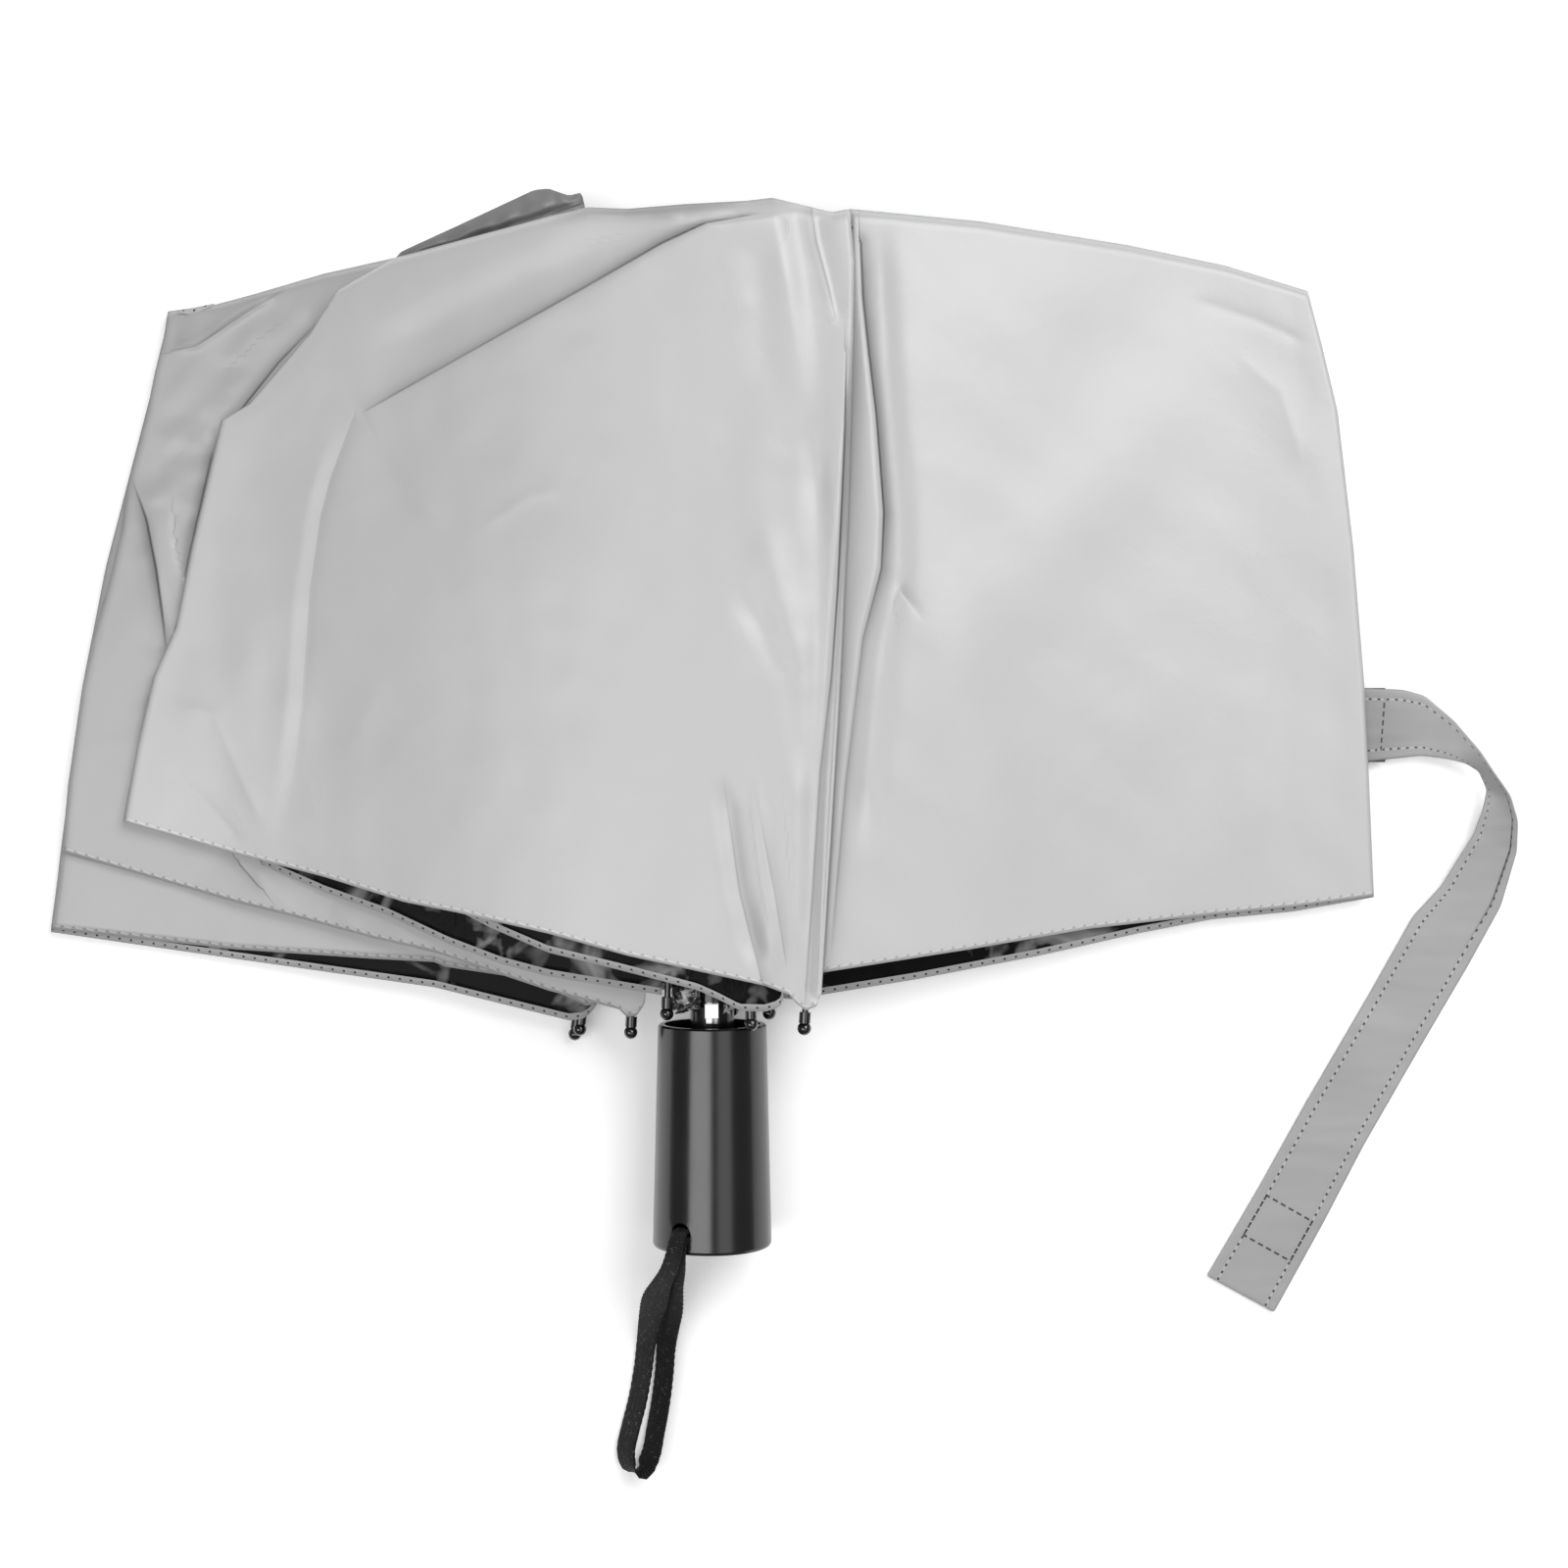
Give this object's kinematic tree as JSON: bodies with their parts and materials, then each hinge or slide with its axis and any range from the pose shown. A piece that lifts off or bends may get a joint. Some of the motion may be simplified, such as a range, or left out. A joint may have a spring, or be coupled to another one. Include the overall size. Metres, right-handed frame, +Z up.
{
  "type": "folding umbrella",
  "caption": "Three-fold pocket umbrella, closed and loosely collapsed, lying flat, with a telescoping shaft, wrist ribbon and stitched closure strap.",
  "frame": {"origin": "centre of the handle's flat end face", "axes": "+Y along the shaft from the handle's end to the crown, +Z up from the surface it lies on, +X to the right seen from above with the crown away"},
  "size_m": [0.4723, 0.4078, 0.046],
  "materials": {
    "black_plastic": "satin moulded, soft-touch black",
    "black_gloss": "moulded black",
    "tube_steel": "plated steel tube",
    "spring_steel": "polished spring steel",
    "rib_steel": "black lacquered steel",
    "canopy_cloth": "silver-grey coated cloth, glossy black inside",
    "strap_cloth": "silver-grey coated cloth, stitched",
    "pad_fabric": "hook and loop tape",
    "ribbon": "black woven ribbon"
  },
  "bodies": {
    "handle": {"handle_grip": "black_plastic", "lower_tube": "tube_steel", "wrist_ribbon": "ribbon"},
    "middle_shaft": {"mid_tube": "tube_steel", "mid_tube_bush": "black_gloss"},
    "canopy_pack": {"top_tube": "tube_steel", "top_tube_bush": "black_gloss", "crown": "black_gloss", "crown_ring": "tube_steel", "top_cap": "black_gloss", "canopy_gore_1": "canopy_cloth", "canopy_gore_2": "canopy_cloth", "canopy_gore_3": "canopy_cloth", "canopy_gore_4": "canopy_cloth", "canopy_gore_5": "canopy_cloth", "canopy_gore_6": "canopy_cloth", "canopy_gore_7": "canopy_cloth", "canopy_gore_8": "canopy_cloth", "closure_strap": "strap_cloth", "strap_hook_pad": "pad_fabric", "strap_loop_pad": "pad_fabric"},
    "runner": {"runner": "black_gloss", "runner_ring": "tube_steel"},
    "catch": {"spring_catch": "spring_steel"},
    "rib_1": {"inner_rib_1": "rib_steel", "mid_rib_1": "rib_steel", "outer_rib_1": "rib_steel"},
    "stretcher_arm_1": {"stretcher_1": "rib_steel"},
    "rib_2": {"inner_rib_2": "rib_steel", "mid_rib_2": "rib_steel", "outer_rib_2": "rib_steel"},
    "stretcher_arm_2": {"stretcher_2": "rib_steel"},
    "rib_3": {"inner_rib_3": "rib_steel", "mid_rib_3": "rib_steel", "outer_rib_3": "rib_steel"},
    "stretcher_arm_3": {"stretcher_3": "rib_steel"},
    "rib_4": {"inner_rib_4": "rib_steel", "mid_rib_4": "rib_steel", "outer_rib_4": "rib_steel"},
    "stretcher_arm_4": {"stretcher_4": "rib_steel"},
    "rib_5": {"inner_rib_5": "rib_steel", "mid_rib_5": "rib_steel", "outer_rib_5": "rib_steel"},
    "stretcher_arm_5": {"stretcher_5": "rib_steel"},
    "rib_6": {"inner_rib_6": "rib_steel", "mid_rib_6": "rib_steel", "outer_rib_6": "rib_steel"},
    "stretcher_arm_6": {"stretcher_6": "rib_steel"},
    "rib_7": {"inner_rib_7": "rib_steel", "mid_rib_7": "rib_steel", "outer_rib_7": "rib_steel"},
    "stretcher_arm_7": {"stretcher_7": "rib_steel"},
    "rib_8": {"inner_rib_8": "rib_steel", "mid_rib_8": "rib_steel", "outer_rib_8": "rib_steel"},
    "stretcher_arm_8": {"stretcher_8": "rib_steel"}
  },
  "joints": [
    {"name": "middle_tube_slide", "type": "slide", "parent": "handle", "child": "middle_shaft", "axis": [0, 1, 0], "range_m": [0, 0.15]},
    {"name": "top_tube_slide", "type": "slide", "parent": "middle_shaft", "child": "canopy_pack", "axis": [0, 1, 0], "range_m": [0, 0.15]},
    {"name": "runner_slide", "type": "slide", "parent": "canopy_pack", "child": "runner", "axis": [0, 1, 0], "range_m": [0, 0.00122]},
    {"name": "catch_press", "type": "slide", "parent": "canopy_pack", "child": "catch", "axis": [0, 0, -1], "range_m": [0, 0.0008], "stiffness_N_per_m": 2500, "springref_m": -0.0002},
    {"name": "rib_1_hinge", "type": "hinge", "parent": "canopy_pack", "child": "rib_1", "pos_m": [0.00739, 0.316, 0.00306], "axis": [-0.3827, 0, 0.9239], "range_deg": [0, 6], "deforming": ["canopy_gore_1", "canopy_gore_2", "canopy_gore_3", "canopy_gore_4", "canopy_gore_5", "canopy_gore_6", "canopy_gore_7", "canopy_gore_8"]},
    {"name": "stretcher_1_hinge", "type": "hinge", "parent": "runner", "child": "stretcher_arm_1", "pos_m": [0.00739, 0.0885, 0.00306], "axis": [0.3827, 0, -0.9239], "range_deg": [0, 4.76]},
    {"name": "rib_2_hinge", "type": "hinge", "parent": "canopy_pack", "child": "rib_2", "pos_m": [0.00739, 0.316, -0.00306], "axis": [0.3827, 0, 0.9239], "range_deg": [0, 6]},
    {"name": "stretcher_2_hinge", "type": "hinge", "parent": "runner", "child": "stretcher_arm_2", "pos_m": [0.00739, 0.0885, -0.00306], "axis": [-0.3827, 0, -0.9239], "range_deg": [0, 4.76]},
    {"name": "rib_3_hinge", "type": "hinge", "parent": "canopy_pack", "child": "rib_3", "pos_m": [0.00306, 0.316, -0.00739], "axis": [0.9239, 0, 0.3827], "range_deg": [0, 6]},
    {"name": "stretcher_3_hinge", "type": "hinge", "parent": "runner", "child": "stretcher_arm_3", "pos_m": [0.00306, 0.0885, -0.00739], "axis": [-0.9239, 0, -0.3827], "range_deg": [0, 4.76]},
    {"name": "rib_4_hinge", "type": "hinge", "parent": "canopy_pack", "child": "rib_4", "pos_m": [-0.00306, 0.316, -0.00739], "axis": [0.9239, 0, -0.3827], "range_deg": [0, 6]},
    {"name": "stretcher_4_hinge", "type": "hinge", "parent": "runner", "child": "stretcher_arm_4", "pos_m": [-0.00306, 0.0885, -0.00739], "axis": [-0.9239, 0, 0.3827], "range_deg": [0, 4.76]},
    {"name": "rib_5_hinge", "type": "hinge", "parent": "canopy_pack", "child": "rib_5", "pos_m": [-0.00739, 0.316, -0.00306], "axis": [0.3827, 0, -0.9239], "range_deg": [0, 6]},
    {"name": "stretcher_5_hinge", "type": "hinge", "parent": "runner", "child": "stretcher_arm_5", "pos_m": [-0.00739, 0.0885, -0.00306], "axis": [-0.3827, 0, 0.9239], "range_deg": [0, 4.76]},
    {"name": "rib_6_hinge", "type": "hinge", "parent": "canopy_pack", "child": "rib_6", "pos_m": [-0.00739, 0.316, 0.00306], "axis": [-0.3827, 0, -0.9239], "range_deg": [0, 6]},
    {"name": "stretcher_6_hinge", "type": "hinge", "parent": "runner", "child": "stretcher_arm_6", "pos_m": [-0.00739, 0.0885, 0.00306], "axis": [0.3827, 0, 0.9239], "range_deg": [0, 4.76]},
    {"name": "rib_7_hinge", "type": "hinge", "parent": "canopy_pack", "child": "rib_7", "pos_m": [-0.00306, 0.316, 0.00739], "axis": [-0.9239, 0, -0.3827], "range_deg": [0, 6]},
    {"name": "stretcher_7_hinge", "type": "hinge", "parent": "runner", "child": "stretcher_arm_7", "pos_m": [-0.00306, 0.0885, 0.00739], "axis": [0.9239, 0, 0.3827], "range_deg": [0, 4.76]},
    {"name": "rib_8_hinge", "type": "hinge", "parent": "canopy_pack", "child": "rib_8", "pos_m": [0.00306, 0.316, 0.00739], "axis": [-0.9239, 0, 0.3827], "range_deg": [0, 6]},
    {"name": "stretcher_8_hinge", "type": "hinge", "parent": "runner", "child": "stretcher_arm_8", "pos_m": [0.00306, 0.0885, 0.00739], "axis": [0.9239, 0, -0.3827], "range_deg": [0, 4.76]}
  ],
  "couplings": [
    {"joint": "runner_slide", "follows": "rib_1_hinge", "m_per_rad": 0.01146},
    {"joint": "stretcher_1_hinge", "follows": "rib_1_hinge", "ratio": 0.7843},
    {"joint": "rib_2_hinge", "follows": "rib_1_hinge", "ratio": 1},
    {"joint": "stretcher_2_hinge", "follows": "rib_1_hinge", "ratio": 0.7843},
    {"joint": "rib_3_hinge", "follows": "rib_1_hinge", "ratio": 1},
    {"joint": "stretcher_3_hinge", "follows": "rib_1_hinge", "ratio": 0.7843},
    {"joint": "rib_4_hinge", "follows": "rib_1_hinge", "ratio": 1},
    {"joint": "stretcher_4_hinge", "follows": "rib_1_hinge", "ratio": 0.7843},
    {"joint": "rib_5_hinge", "follows": "rib_1_hinge", "ratio": 1},
    {"joint": "stretcher_5_hinge", "follows": "rib_1_hinge", "ratio": 0.7843},
    {"joint": "rib_6_hinge", "follows": "rib_1_hinge", "ratio": 1},
    {"joint": "stretcher_6_hinge", "follows": "rib_1_hinge", "ratio": 0.7843},
    {"joint": "rib_7_hinge", "follows": "rib_1_hinge", "ratio": 1},
    {"joint": "stretcher_7_hinge", "follows": "rib_1_hinge", "ratio": 0.7843},
    {"joint": "rib_8_hinge", "follows": "rib_1_hinge", "ratio": 1},
    {"joint": "stretcher_8_hinge", "follows": "rib_1_hinge", "ratio": 0.7843}
  ]
}
